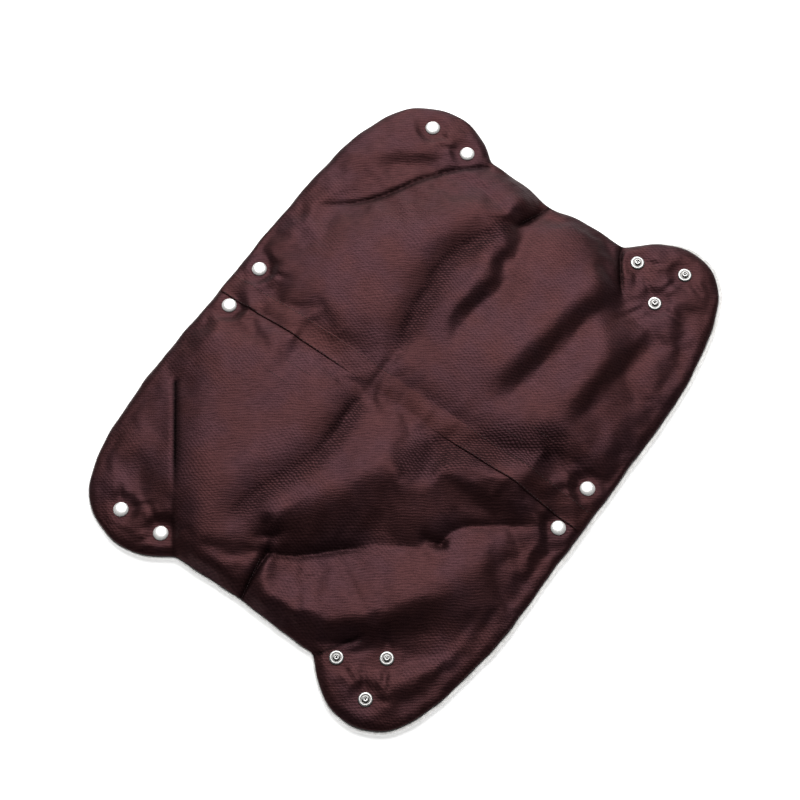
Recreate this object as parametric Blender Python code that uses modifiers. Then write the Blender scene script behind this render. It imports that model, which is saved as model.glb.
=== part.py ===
"""Hand warmer muff for a pushchair handlebar, lying open with its lining down.

A brown water-repellent shell, a wadding core and a white plush lining are sewn edge to edge into a
rectangle with four round ears. Press snaps in the ears and at the middle of the long edges close it
round a bar. Two sides fold about the centre line and each ear folds about the crease at its root.

Frame: metres, +Z up. X runs along the bar, the cap side is +Y and the stud side is -Y. The origin is
the centre of the face that the muff lies on.
"""

import math

import bmesh
import bpy
from mathutils import Vector

MM = 0.001

# The cut of the muff
HALF_WIDTH = 185 * MM
SHORT_EDGE_X = 221 * MM
SHOULDER_Y = 69.5 * MM
CREASE_ANGLE = math.radians(39.5)
LINING_PROUD = 3 * MM
# Outline points of an ear, from the straight long edge round to the shoulder
CAP_EAR_CURVE = [(115, 185), (162, 180.5), (200, 171), (225, 156), (238, 134), (241, 110), (234, 87)]
STUD_EAR_CURVE = [(115, 185), (165, 180), (206, 171), (233, 158.5), (249, 137), (251, 113), (240, 90)]
CURVE_STEPS = 3

# The layers at the rim and in the ears, from the resting face up
GAP = 0.3 * MM
LINING_TOP = 5 * MM
WADDING_BOTTOM = LINING_TOP + GAP
WADDING_TOP = WADDING_BOTTOM + 2 * MM
PATCH_BOTTOM = WADDING_TOP + GAP
PATCH_TOP = PATCH_BOTTOM + 0.7 * MM
SHELL_BOTTOM = PATCH_TOP + GAP
SHELL_TOP = SHELL_BOTTOM + 0.8 * MM
BAND_BOTTOM = SHELL_TOP + GAP
BAND_TOP = BAND_BOTTOM + 0.7 * MM
BAND_WIDTH = 20 * MM
BAND_CENTRE = -4.3 * MM
SEAM_ALLOWANCE = 1.5 * MM

# The padded dome of each side
PUFF = 14 * MM
FLAT_RIM = 28 * MM
FLAT_SHORT_RIM = 9 * MM
DOME_REACH = 95 * MM
DOME_REACH_SHORT = 45 * MM
GRID_X = [-225, -205, -185, -165, -120, -60, 0, 60, 120, 165, 185, 205, 225]
GRID_Y = [0, 25, 50, 75, 100, 122, 141, 157, 192]

# Press snaps: places in the +X half, mirrored to -X
CAP_EAR_SNAPS = [(218, 129), (215, 90)]
STUD_EAR_SNAPS = [(215, -88), (229, -127), (192, -121)]
SIDE_SNAP = (21, 169)
HOLE_RADIUS = 2.2 * MM
COUNTERBORE_RADIUS = 6.5 * MM
COUNTERBORE_TOP = 4.2 * MM
CAP_RADIUS = 6.25 * MM
CAP_HEIGHT = 1.9 * MM
STUD_FLANGE_RADIUS = 6 * MM
STUD_BOSS_RADIUS = 2.3 * MM
STUD_BORE_RADIUS = 1.7 * MM
STUD_HEIGHT = 3 * MM
FLANGE_THICKNESS = 0.8 * MM
SOCKET_RADIUS = 5.6 * MM
SOCKET_HEIGHT = 3.3 * MM
POST_RADIUS = 1.8 * MM
TUBE_RADIUS = 1.4 * MM
TURNED_STEPS = 12

PATCH_MARGIN = 11 * MM
FOLD_GAP = 0.5 * MM

COLOURS = {
    "shell_fabric": ((0.085, 0.035, 0.038), 0.55, 0.0),
    "band_fabric": ((0.085, 0.035, 0.038), 0.55, 0.0),
    "wadding": ((0.85, 0.85, 0.84), 0.95, 0.0),
    "lining_plush": ((0.86, 0.85, 0.83), 0.95, 0.0),
    "interfacing": ((0.78, 0.78, 0.76), 0.9, 0.0),
    "snap_metal": ((0.82, 0.81, 0.79), 0.25, 1.0),
    "spring_wire": ((0.62, 0.62, 0.62), 0.35, 1.0),
}


def clear_scene():
    for old in list(bpy.data.objects):
        bpy.data.objects.remove(old)


def collection(name):
    made = bpy.data.collections.new(name)
    bpy.context.scene.collection.children.link(made)
    return made


def material(name):
    """The Principled material of that name, made once."""
    found = bpy.data.materials.get(name)
    if found:
        return found
    colour, roughness, metallic = COLOURS[name]
    made = bpy.data.materials.new(name)
    made.use_nodes = True
    shader = made.node_tree.nodes["Principled BSDF"]
    shader.inputs["Base Color"].default_value = (*colour, 1)
    shader.inputs["Roughness"].default_value = roughness
    shader.inputs["Metallic"].default_value = metallic
    return made


def add_object(name, data, home, finish=None):
    made = bpy.data.objects.new(name, data)
    home.objects.link(made)
    if finish:
        data.materials.append(material(finish))
    return made


def mesh_object(name, bm, home, finish):
    data = bpy.data.meshes.new(name)
    bm.to_mesh(data)
    bm.free()
    return add_object(name, data, home, finish)


# Outlines ---------------------------------------------------------------------------------------


def smooth_run(points):
    """Points along a Catmull-Rom curve through the given ones, ends included."""
    ends = [points[0], *points, points[-1]]
    run = []
    for a, b, c, d in zip(ends, ends[1:], ends[2:], ends[3:]):
        for step in range(CURVE_STEPS):
            t = step / CURVE_STEPS
            run.append(
                0.5 * (2 * b + (c - a) * t + (2 * a - 5 * b + 4 * c - d) * t**2
                       + (3 * b - a - 3 * c + d) * t**3)
            )
    return [*run, points[-1]]


def outline(proud=0.0):
    """The muff's whole outline, counter-clockwise, moved outwards by proud."""
    shoulder = Vector((SHORT_EDGE_X, SHOULDER_Y))
    cap_ear = [Vector(p) * MM for p in CAP_EAR_CURVE]
    stud_ear = [Vector(p) * MM for p in STUD_EAR_CURVE]
    cap_run = smooth_run([*cap_ear, shoulder])
    stud_run = smooth_run([*stud_ear, shoulder])
    right_cap = list(reversed(cap_run))
    left_cap = [Vector((-p.x, p.y)) for p in cap_run]
    left_stud = [Vector((-p.x, -p.y)) for p in reversed(stud_run)]
    right_stud = [Vector((p.x, -p.y)) for p in stud_run]
    points = right_cap + left_cap + left_stud + right_stud
    return moved_out(points, proud) if proud else points


def moved_out(points, distance):
    """The closed outline with each point moved along the mean of its two edges' outward normals."""
    moved = []
    for before, here, after in zip(points[-1:] + points[:-1], points, points[1:] + points[:1]):
        into, out = (here - before).normalized(), (after - here).normalized()
        normal = Vector((into.y + out.y, -into.x - out.x)).normalized()
        lean = max(0.5, normal.dot(Vector((into.y, -into.x))))
        moved.append(here + normal * (distance / lean))
    return moved


def clipped(points, normal, offset):
    """The part of a polygon where normal . p >= offset."""
    kept = []
    for here, after in zip(points, points[1:] + points[:1]):
        now, then = normal.dot(here) - offset, normal.dot(after) - offset
        if now >= 0:
            kept.append(here)
        if (now >= 0) != (then >= 0):
            kept.append(here + (after - here) * (now / (now - then)))
    return kept


def crease(sign_x, sign_y):
    """(normal towards the ear, offset) of the crease line at an ear's root."""
    normal = Vector((sign_x * math.sin(CREASE_ANGLE), sign_y * math.cos(CREASE_ANGLE)))
    return normal, normal.dot(Vector((sign_x * SHORT_EDGE_X, sign_y * SHOULDER_Y)))


def ear_region(sign_x, sign_y, proud=0.0):
    normal, offset = crease(sign_x, sign_y)
    region = clipped(outline(proud), normal, offset + GAP / 2)
    region = clipped(region, Vector((sign_x, 0)), 0)
    return clipped(region, Vector((0, sign_y)), 0)


def side_region(sign_y, proud=0.0):
    region = clipped(outline(proud), Vector((0, sign_y)), FOLD_GAP / 2)
    for sign_x in (1, -1):
        normal, offset = crease(sign_x, sign_y)
        region = clipped(region, -normal, GAP / 2 - offset)
    return region


def side_planes(sign_y, inset=0.0):
    """(outward normal, point) of the upright planes that bound one side."""
    planes = [
        (Vector((0, -sign_y, 0)), Vector((0, sign_y * FOLD_GAP / 2, 0))),
        (Vector((0, sign_y, 0)), Vector((0, sign_y * (HALF_WIDTH - inset), 0))),
    ]
    for sign_x in (1, -1):
        normal, offset = crease(sign_x, sign_y)
        planes.append((normal.to_3d(), (normal * (offset - GAP / 2)).to_3d()))
        planes.append((Vector((sign_x, 0, 0)), Vector((sign_x * (SHORT_EDGE_X - inset), 0, 0))))
    return planes


# Soft pieces ------------------------------------------------------------------------------------


def ease(t):
    t = min(1.0, max(0.0, t))
    return t * t * (3 - 2 * t)


def dome(x, y):
    """How far the padding lifts the shell above its flat rim."""
    from_long = HALF_WIDTH - abs(y)
    from_short = SHORT_EDGE_X - abs(x)
    normal, offset = crease(1, 1)
    from_crease = offset - normal.dot(Vector((abs(x), abs(y))))
    rise = ease((from_long - FLAT_RIM) / (DOME_REACH - FLAT_RIM))
    rise *= ease((from_short - FLAT_SHORT_RIM) / (DOME_REACH_SHORT - FLAT_SHORT_RIM))
    rise *= ease(from_crease / DOME_REACH_SHORT)
    return PUFF * rise


def surface_grid(sign_y, xs, planes):
    """A bmesh sheet over one side that follows the dome, cut to the side's planes."""
    bm = bmesh.new()
    bmesh.ops.create_grid(bm, x_segments=len(xs) - 1, y_segments=len(GRID_Y) - 1, size=0.5)
    for vert in bm.verts:
        column = round((vert.co.x + 0.5) * (len(xs) - 1))
        row = round((vert.co.y + 0.5) * (len(GRID_Y) - 1))
        x = xs[column] * MM
        y = GRID_Y[row if sign_y > 0 else len(GRID_Y) - 1 - row] * MM * sign_y
        vert.co = Vector((x, y, dome(x, y)))
    bmesh.ops.triangulate(bm, faces=bm.faces[:])
    for normal, point in planes:
        everything = bm.verts[:] + bm.edges[:] + bm.faces[:]
        bmesh.ops.bisect_plane(bm, geom=everything, dist=1e-6, plane_co=point, plane_no=normal, clear_outer=True)
    return bm


def thicken(bm, bottom, top, flat_base):
    """Closes a sheet into a solid from bottom to top above it, or from a flat base at bottom."""
    lower = bm.verts[:]
    made = bmesh.ops.extrude_face_region(bm, geom=bm.faces[:])
    upper = [item for item in made["geom"] if isinstance(item, bmesh.types.BMVert)]
    for vert in upper:
        vert.co.z += top
    for vert in lower:
        vert.co.z = bottom if flat_base else vert.co.z + bottom
    bmesh.ops.recalc_face_normals(bm, faces=bm.faces[:])


def side_layer(name, sign_y, bottom, top, home, finish, inset=0.0, xs=GRID_X, flat_base=False):
    bm = surface_grid(sign_y, xs, side_planes(sign_y, inset))
    thicken(bm, bottom, top, flat_base)
    return mesh_object(name, bm, home, finish)


def plate(name, region, bottom, top, home, finish):
    """A flat piece of the region's outline: a filled 2D curve extruded to its thickness."""
    data = bpy.data.curves.new(name, "CURVE")
    data.dimensions = "2D"
    data.fill_mode = "BOTH"
    data.extrude = (top - bottom) / 2
    spline = data.splines.new("POLY")
    spline.points.add(len(region) - 1)
    for point, place in zip(spline.points, region):
        point.co = (place.x, place.y, 0, 1)
    spline.use_cyclic_u = True
    guide = add_object(name + "_guide", data, home)
    bpy.context.view_layer.update()
    graph = bpy.context.evaluated_depsgraph_get()
    mesh = bpy.data.meshes.new_from_object(guide.evaluated_get(graph))
    bpy.data.objects.remove(guide)
    bm = bmesh.new()
    bm.from_mesh(mesh)
    bmesh.ops.remove_doubles(bm, verts=bm.verts[:], dist=1e-6)
    bmesh.ops.translate(bm, verts=bm.verts[:], vec=(0, 0, (bottom + top) / 2))
    bmesh.ops.recalc_face_normals(bm, faces=bm.faces[:])
    bm.to_mesh(mesh)
    bm.free()
    mesh.name = name
    return add_object(name, mesh, home, finish)


def patch_region(places):
    """The hull of discs round the snaps that one piece of interfacing backs."""
    rim = [
        Vector(place) * MM + PATCH_MARGIN * Vector((math.cos(turn), math.sin(turn)))
        for place in places
        for turn in (math.tau * k / 12 for k in range(12))
    ]
    bm = bmesh.new()
    for point in rim:
        bm.verts.new(point.to_3d())
    middle = sum(rim, Vector((0, 0))) / len(rim)
    hull = bmesh.ops.convex_hull(bm, input=bm.verts[:])["geom"]
    corners = {tuple(v.co.to_2d()) for v in hull if isinstance(v, bmesh.types.BMVert)}
    bm.free()
    ordered = sorted(corners, key=lambda p: math.atan2(p[1] - middle.y, p[0] - middle.x))
    return [Vector(p) for p in ordered]


def drill(name, places, radius, bottom, top, home):
    """A cutter of one upright cylinder at each place."""
    bm = bmesh.new()
    for place in places:
        made = bmesh.ops.create_cone(
            bm, cap_ends=True, segments=TURNED_STEPS, radius1=radius, radius2=radius, depth=top - bottom
        )
        centre = (Vector(place) * MM).to_3d() + Vector((0, 0, (bottom + top) / 2))
        bmesh.ops.translate(bm, verts=made["verts"], vec=centre)
    cutter = mesh_object(name, bm, home, None)
    cutter.hide_render = True
    cutter.display_type = "WIRE"
    return cutter


def cut(piece, cutter):
    modifier = piece.modifiers.new(cutter.name, "BOOLEAN")
    modifier.operation = "DIFFERENCE"
    modifier.object = cutter


# Press snaps ------------------------------------------------------------------------------------


def turned(name, profile, place, height, home, finish, closed, facing_down=False):
    """A turned piece: its profile of (radius, height) runs down the outer side, and Screw turns it."""
    bm = bmesh.new()
    verts = [bm.verts.new((radius, 0, level)) for radius, level in profile]
    for here, after in zip(verts, verts[1:]):
        bm.edges.new((here, after))
    if closed:
        bm.edges.new((verts[-1], verts[0]))
    made = mesh_object(name, bm, home, finish)
    screw = made.modifiers.new("turn", "SCREW")
    screw.steps = screw.render_steps = TURNED_STEPS
    screw.use_merge_vertices = True
    screw.merge_threshold = 0.00001
    made.location = (place[0] * MM, place[1] * MM, height)
    if facing_down:
        made.rotation_euler = (math.pi, 0, 0)
    return made


def cap(name, place, home, post_radius, post_end, clinched):
    """A domed cap on the shell whose post goes down through the layers."""
    seat = SHELL_TOP + GAP
    end = post_end - seat
    profile = [
        (0, CAP_HEIGHT),
        (0.5 * CAP_RADIUS, 0.93 * CAP_HEIGHT),
        (0.85 * CAP_RADIUS, 0.62 * CAP_HEIGHT),
        (CAP_RADIUS, 0.15 * CAP_HEIGHT),
        (0.95 * CAP_RADIUS, 0),
        (post_radius, 0),
    ]
    if clinched:
        roof = GAP + SOCKET_HEIGHT - 0.6 * MM - GAP - seat
        profile += [(post_radius, roof), (post_radius + 0.6 * MM, roof), (post_radius + 0.6 * MM, end)]
    else:
        profile += [(post_radius, end)]
    return turned(name, [*profile, (0, end)], place, seat, home, "snap_metal", False)


def socket(name, place, home):
    """A ring socket recessed in the lining, mouth down, with a groove for its spring."""
    height, lip = SOCKET_HEIGHT, 0.9 * MM
    wall = 0.6 * MM
    profile = [
        (POST_RADIUS + GAP, height),
        (SOCKET_RADIUS - 0.5 * MM, height),
        (SOCKET_RADIUS, height - 0.5 * MM),
        (SOCKET_RADIUS, 0.5 * MM),
        (SOCKET_RADIUS - 0.5 * MM, 0),
        (2.7 * MM, 0),
        (2.7 * MM, lip),
        (3.6 * MM, lip),
        (3.6 * MM, height - wall),
        (POST_RADIUS + GAP, height - wall),
    ]
    return turned(name, profile, place, GAP, home, "snap_metal", True)


def spring(name, place, home):
    """The split wire ring that grips a stud, lying in its socket's groove."""
    ring_radius, wire_radius, points, opening = 2.95 * MM, 0.25 * MM, 13, math.radians(50)
    data = bpy.data.curves.new(name, "CURVE")
    data.dimensions = "3D"
    data.bevel_depth = wire_radius
    data.bevel_resolution = 0
    data.use_fill_caps = True
    spline = data.splines.new("POLY")
    spline.points.add(points - 1)
    for k, point in enumerate(spline.points):
        turn = opening / 2 + (math.tau - opening) * k / (points - 1)
        point.co = (ring_radius * math.cos(turn), ring_radius * math.sin(turn), 0, 1)
    made = add_object(name, data, home, "spring_wire")
    made.location = (place[0] * MM, place[1] * MM, GAP + 1.6 * MM)
    return made


def stud(name, place, home, facing_down=False):
    """A stud: a flat flange with a hollow boss that a socket grips."""
    profile = [
        (STUD_BORE_RADIUS, STUD_HEIGHT),
        (STUD_BOSS_RADIUS - 0.1 * MM, STUD_HEIGHT),
        (STUD_BOSS_RADIUS + 0.2 * MM, STUD_HEIGHT - 0.5 * MM),
        (STUD_BOSS_RADIUS, FLANGE_THICKNESS),
        (STUD_FLANGE_RADIUS - 0.3 * MM, FLANGE_THICKNESS),
        (STUD_FLANGE_RADIUS, 0.4 * FLANGE_THICKNESS),
        (STUD_FLANGE_RADIUS, 0),
        (STUD_BORE_RADIUS, 0),
    ]
    seat = COUNTERBORE_TOP - GAP if facing_down else SHELL_TOP + GAP
    return turned(name, profile, place, seat, home, "snap_metal", True, facing_down)


def eyelet(name, place, home):
    """The back of a stud: a flange in the lining with a tube up through the layers into the boss."""
    seat = COUNTERBORE_TOP - GAP - FLANGE_THICKNESS
    top = SHELL_TOP + GAP + STUD_HEIGHT - GAP - seat
    profile = [
        (0.9 * MM, top),
        (TUBE_RADIUS, top),
        (TUBE_RADIUS, FLANGE_THICKNESS),
        (5 * MM, FLANGE_THICKNESS),
        (5 * MM, 0),
        (0.9 * MM, 0),
    ]
    return turned(name, profile, place, seat, home, "snap_metal", True)


# Assembly ---------------------------------------------------------------------------------------


def add_socket_snap(name, place, home):
    cap(name + "_cap", place, home, POST_RADIUS, GAP + 2 * MM, True)
    socket(name + "_socket", place, home)
    spring(name + "_spring", place, home)


def add_stud_snap(name, place, home):
    stud(name + "_stud", place, home)
    eyelet(name + "_eyelet", place, home)


def add_inward_stud_snap(name, place, home):
    cap(name + "_cap", place, home, TUBE_RADIUS, COUNTERBORE_TOP - GAP - STUD_HEIGHT + GAP, False)
    stud(name + "_stud", place, home, facing_down=True)


def drilled(label, places, layers, lining, cutters):
    """Holes for the snap posts through each layer, and recesses in the lining under them."""
    through = drill(f"{label}_post_holes", places, HOLE_RADIUS, -2 * MM, 20 * MM, cutters)
    recess = drill(f"{label}_recesses", places, COUNTERBORE_RADIUS, -2 * MM, COUNTERBORE_TOP, cutters)
    for piece in [*layers, lining]:
        cut(piece, through)
    cut(lining, recess)


def build_side(label, sign_y, home, cutters):
    """One padded side: lining, wadding, shell, half of the centre band and its two snaps."""
    places = [(sign_x * SIDE_SNAP[0], sign_y * SIDE_SNAP[1]) for sign_x in (1, -1)]
    lining = plate(
        f"lining_{label}", side_region(sign_y, LINING_PROUD), 0, LINING_TOP, home, "lining_plush"
    )
    wadding = side_layer(
        f"wadding_{label}", sign_y, WADDING_BOTTOM, WADDING_TOP, home, "wadding",
        inset=SEAM_ALLOWANCE, flat_base=True,
    )
    shell = side_layer(f"shell_{label}", sign_y, SHELL_BOTTOM, SHELL_TOP, home, "shell_fabric")
    band_xs = [(BAND_CENTRE + lean * BAND_WIDTH / 2) / MM for lean in (-1, 1)]
    side_layer(
        f"centre_band_{label}", sign_y, BAND_BOTTOM, BAND_TOP, home, "band_fabric", xs=band_xs
    )
    patch = plate(
        f"snap_patch_{label}", patch_region(places), PATCH_BOTTOM, PATCH_TOP, home, "interfacing"
    )
    drilled(label, places, [shell, patch, wadding], lining, cutters)
    add_snap = add_socket_snap if sign_y > 0 else add_inward_stud_snap
    for number, place in enumerate(places, 1):
        add_snap(f"{label}_snap_{number}", place, home)


def build_ear(label, sign_x, sign_y, snaps, home, cutters):
    """One flat ear: lining, wadding, interfacing, shell and its snaps."""
    places = [(sign_x * x, y) for x, y in snaps]
    lining = plate(
        f"lining_{label}", ear_region(sign_x, sign_y, LINING_PROUD), 0, LINING_TOP, home, "lining_plush"
    )
    wadding = plate(
        f"wadding_{label}", ear_region(sign_x, sign_y, -SEAM_ALLOWANCE), WADDING_BOTTOM, WADDING_TOP,
        home, "wadding",
    )
    shell = plate(
        f"shell_{label}", ear_region(sign_x, sign_y), SHELL_BOTTOM, SHELL_TOP, home, "shell_fabric"
    )
    patch = plate(
        f"snap_patch_{label}", patch_region(places), PATCH_BOTTOM, PATCH_TOP, home, "interfacing"
    )
    drilled(label, places, [shell, patch, wadding], lining, cutters)
    add_snap = add_socket_snap if sign_y > 0 else add_stud_snap
    for number, place in enumerate(places, 1):
        add_snap(f"{label}_snap_{number}", place, home)


def main():
    clear_scene()
    home = collection("hand_warmer_muff")
    cutters = collection("cutters")
    for label, sign_y in (("cap_side", 1), ("stud_side", -1)):
        build_side(label, sign_y, home, cutters)
    for end, sign_x in (("right", 1), ("left", -1)):
        build_ear(f"cap_ear_{end}", sign_x, 1, CAP_EAR_SNAPS, home, cutters)
        build_ear(f"stud_ear_{end}", sign_x, -1, STUD_EAR_SNAPS, home, cutters)


main()
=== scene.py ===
"""The look of the hand warmer muff: padded shell, plush lining, band, stitching and press snaps."""

import math

import bmesh
import bpy
import numpy as np
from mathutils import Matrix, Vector, geometry
from mathutils.bvhtree import BVHTree

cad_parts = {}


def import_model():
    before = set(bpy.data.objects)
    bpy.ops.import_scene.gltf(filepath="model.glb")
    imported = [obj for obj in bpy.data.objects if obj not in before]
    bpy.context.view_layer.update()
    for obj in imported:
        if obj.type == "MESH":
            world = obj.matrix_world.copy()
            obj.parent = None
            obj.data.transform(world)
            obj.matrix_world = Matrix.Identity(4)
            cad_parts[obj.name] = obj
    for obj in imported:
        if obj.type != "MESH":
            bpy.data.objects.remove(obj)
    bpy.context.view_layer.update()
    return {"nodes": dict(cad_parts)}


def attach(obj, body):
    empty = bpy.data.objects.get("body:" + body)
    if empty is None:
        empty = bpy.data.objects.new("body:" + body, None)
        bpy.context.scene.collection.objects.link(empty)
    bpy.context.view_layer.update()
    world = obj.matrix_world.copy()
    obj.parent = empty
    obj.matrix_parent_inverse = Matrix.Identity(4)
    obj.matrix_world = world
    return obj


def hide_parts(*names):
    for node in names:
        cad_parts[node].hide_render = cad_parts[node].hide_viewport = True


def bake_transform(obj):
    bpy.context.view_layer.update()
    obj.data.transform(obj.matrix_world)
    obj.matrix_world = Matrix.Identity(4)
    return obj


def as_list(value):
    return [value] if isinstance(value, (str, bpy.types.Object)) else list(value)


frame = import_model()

MM = 0.001

# The cut, in millimetres ----------
HALF_WIDTH = 185
SHORT_EDGE_X = 221
SHOULDER_Y = 69.5
CREASE_ANGLE = math.radians(39.5)
END_DART_Y = 4
CAP_EAR_CURVE = [
    (115, 185), (162, 180.5), (200, 171), (225, 156), (238, 134), (241, 110), (234, 87),
]
STUD_EAR_CURVE = [
    (115, 185), (165, 180), (206, 171), (233, 158.5), (249, 137), (251, 113), (240, 90),
]

# Heights above the surface that the muff lies on, in millimetres
SEAM_Z = 4.6
RIM_Z = 6.3
SHELL_FLOOR = 7.0
WADDING_FLOOR = 5.2
SNAP_SEAT_Z = 9.4
EAR_PUFF = 2.0
DOME = 7.6

# How far in from the edge the shell rolls down, in millimetres
RIM_ROLL = 6

# The padding's dome in each quarter: how far before an ear's crease it starts and is full, and how
# far in from the short edge it is full, in millimetres
DOME_EDGES = np.array([
    (-4, 64, 60),  # far end, cap side
    (-4, 30, 60),  # far end, stud side
    (-36, 26, 13),  # near end, cap side
    (-14, 20, 13),  # near end, stud side
])

# Mesh sizes, in millimetres
SHELL_CELL = 6.6
LINING_CELL = 5.0
WADDING_CELL = 9
WADDING_INSET = 4.5
SNAP_HOLE = 6.2
HOLE_SIDES = 20  # points round each hole

SNAPS_ON_CAP_EAR = [(218, 129), (215, 90)]
SNAPS_ON_STUD_EAR = [(215, -88), (229, -127), (192, -121)]
SNAP_ON_SIDE = (21, 169)


def smoothstep(low, high, value):
    t = np.clip((value - low) / (high - low), 0, 1)
    return t * t * (3 - 2 * t)


# Outline ----------


def smooth_run(points, steps):
    """A curve through points, with a number of steps between each two."""
    points = [np.array(p, float) for p in points]
    ends = [points[0], *points, points[-1]]
    run = []
    for a, b, c, d in zip(ends, ends[1:], ends[2:], ends[3:]):
        for t in (k / steps for k in range(steps)):
            run.append(0.5 * (2 * b + (c - a) * t + (2 * a - 5 * b + 4 * c - d) * t**2
                              + (3 * b - a - 3 * c + d) * t**3))
    return np.array([*run, points[-1]])


def whole_outline():
    """The cut's outline in millimetres, counter-clockwise, as an array of points."""
    shoulder = (SHORT_EDGE_X, SHOULDER_Y)
    cap_run = smooth_run([*CAP_EAR_CURVE, shoulder], 10)
    stud_run = smooth_run([*STUD_EAR_CURVE, shoulder], 10)
    return np.vstack([cap_run[::-1], cap_run * (-1, 1), stud_run[::-1] * (-1, -1),
                      stud_run * (1, -1)])


def travelled(points):
    """The distance along a polyline at each of its points."""
    return np.concatenate([[0], np.cumsum(np.linalg.norm(np.diff(points, axis=0), axis=1))])


def places_at(points, length, at):
    """The places on a polyline at some distances along it; length is its travelled(points)."""
    return np.stack([np.interp(at, length, points[:, k]) for k in (0, 1)], axis=-1)


def resampled(points, spacing):
    """Points a spacing apart along each stretch of the outline between its corners."""
    points = np.vstack([points, points[:1]])
    into = np.diff(points, axis=0)
    turn = np.abs(np.diff(np.unwrap(np.arctan2(into[:, 1], into[:, 0]))))
    corners = [0, *(np.nonzero(turn > 0.45)[0] + 1), len(points) - 1]
    made = []
    for first, last in zip(corners, corners[1:]):
        stretch = points[first:last + 1]
        length = travelled(stretch)
        count = max(1, round(length[-1] / spacing))
        at = np.linspace(0, length[-1], count + 1)[:-1]
        made.append(places_at(stretch, length, at))
    return np.vstack(made)


def outward(points):
    """Unit outward normals of a counter-clockwise closed outline."""
    along = np.roll(points, -1, axis=0) - np.roll(points, 1, axis=0)
    normal = np.column_stack([along[:, 1], -along[:, 0]])
    return normal / np.linalg.norm(normal, axis=1, keepdims=True)


def near_run(xy, run, closed=False):
    """Each point's gap to a polyline, share of its length there, and side: left +1, right -1."""
    run = np.asarray(run, float)
    if closed:
        run = np.vstack([run, run[:1]])
    lengths = np.linalg.norm(np.diff(run, axis=0), axis=1)
    before = travelled(run)
    best = np.full(len(xy), 1e9)
    share, side = np.zeros(len(xy)), np.zeros(len(xy))
    for k, (a, b) in enumerate(zip(run, run[1:])):
        along = b - a
        t = np.clip(((xy - a) @ along) / max(1e-9, along @ along), 0, 1)
        away = xy - a - t[:, None] * along
        gap = np.linalg.norm(away, axis=1)
        # where two segments meet, the first one tells the side
        clearly, nearer = gap < best - 1e-9, gap < best
        side[clearly] = np.sign(along[0] * away[clearly, 1] - along[1] * away[clearly, 0])
        share[nearer] = (before[k] + t[nearer] * lengths[k]) / before[-1]
        best[nearer] = gap[nearer]
    return best, share, side


def crease(sign_x, sign_y):
    """The outer end of an ear's crease line, and the direction that leads into the ear."""
    root = np.array((sign_x * SHORT_EDGE_X, sign_y * SHOULDER_Y), float)
    return root, np.array((sign_x * math.sin(CREASE_ANGLE), sign_y * math.cos(CREASE_ANGLE)))


def beyond_crease(xy, sign_x, sign_y):
    """How far each point lies past an ear's crease line, in millimetres."""
    root, normal = crease(sign_x, sign_y)
    return (xy - root) @ normal


CORNERS = {
    "cap_ear_right": (1, 1),
    "cap_ear_left": (-1, 1),
    "stud_ear_left": (-1, -1),
    "stud_ear_right": (1, -1),
}
ZONES = ["middle", *CORNERS]


def drawn_in(outline):
    """The outline as sewn: wavy along its edges, and drawn in where the end darts are stitched."""
    _, share, _ = near_run(outline, outline, closed=True)
    turn = share * math.tau
    wave = 0.35 * np.sin(13 * turn) + 0.3 * np.sin(29 * turn + 2) + 0.25 * np.sin(61 * turn + 4)
    made = outline + outward(outline) * wave[:, None]
    at_end = np.abs(outline[:, 0]) > SHORT_EDGE_X - 5
    pull = np.exp(-(((outline[:, 1] - END_DART_Y) / 17) ** 2)) * at_end
    made[:, 0] -= pull * np.where(outline[:, 0] > 0, 6.5, -1.5)
    return made


OUTLINE = drawn_in(resampled(whole_outline(), 6))


def inside(points, outline):
    """Which points lie inside a closed outline."""
    x, y = points.T
    found = np.zeros(len(points), bool)
    for (ax, ay), (bx, by) in zip(outline, np.roll(outline, -1, axis=0)):
        crosses = (ay > y) != (by > y)
        with np.errstate(divide="ignore", invalid="ignore"):
            at = ax + (y - ay) * (bx - ax) / (by - ay)
        found ^= crosses & (x < at)
    return found


class EdgeField:
    """The distance in from the outline, measured on a grid once and read between its points."""

    STEP = 2.0

    def __init__(self, outline):
        self.low = outline.min(axis=0) - 12
        count = np.ceil((outline.max(axis=0) + 12 - self.low) / self.STEP).astype(int) + 1
        grid = np.stack(np.meshgrid(*(np.arange(k) for k in count), indexing="ij"), axis=-1)
        places = self.low + grid.reshape(-1, 2) * self.STEP
        gap, _, _ = near_run(places, outline, closed=True)
        self.gap = np.where(inside(places, outline), gap, -gap).reshape(count)

    def __call__(self, xy):
        at = (xy - self.low) / self.STEP
        limit = np.array(self.gap.shape) - 2
        cell = np.clip(np.floor(at).astype(int), 0, limit)
        u, v = (at - cell).T
        i, j = cell.T
        low = self.gap[i, j] * (1 - u) + self.gap[i + 1, j] * u
        high = self.gap[i, j + 1] * (1 - u) + self.gap[i + 1, j + 1] * u
        return np.maximum(0, low * (1 - v) + high * v)


inward = EdgeField(OUTLINE)


def snap_places():
    x, y = SNAP_ON_SIDE
    places = [(sign * x, end * y) for sign in (1, -1) for end in (1, -1)]
    for sign in (1, -1):
        places += [(sign * x, y) for x, y in SNAPS_ON_CAP_EAR + SNAPS_ON_STUD_EAR]
    return np.array(places, float)


SNAPS = snap_places()

# The shell's relief ----------

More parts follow.
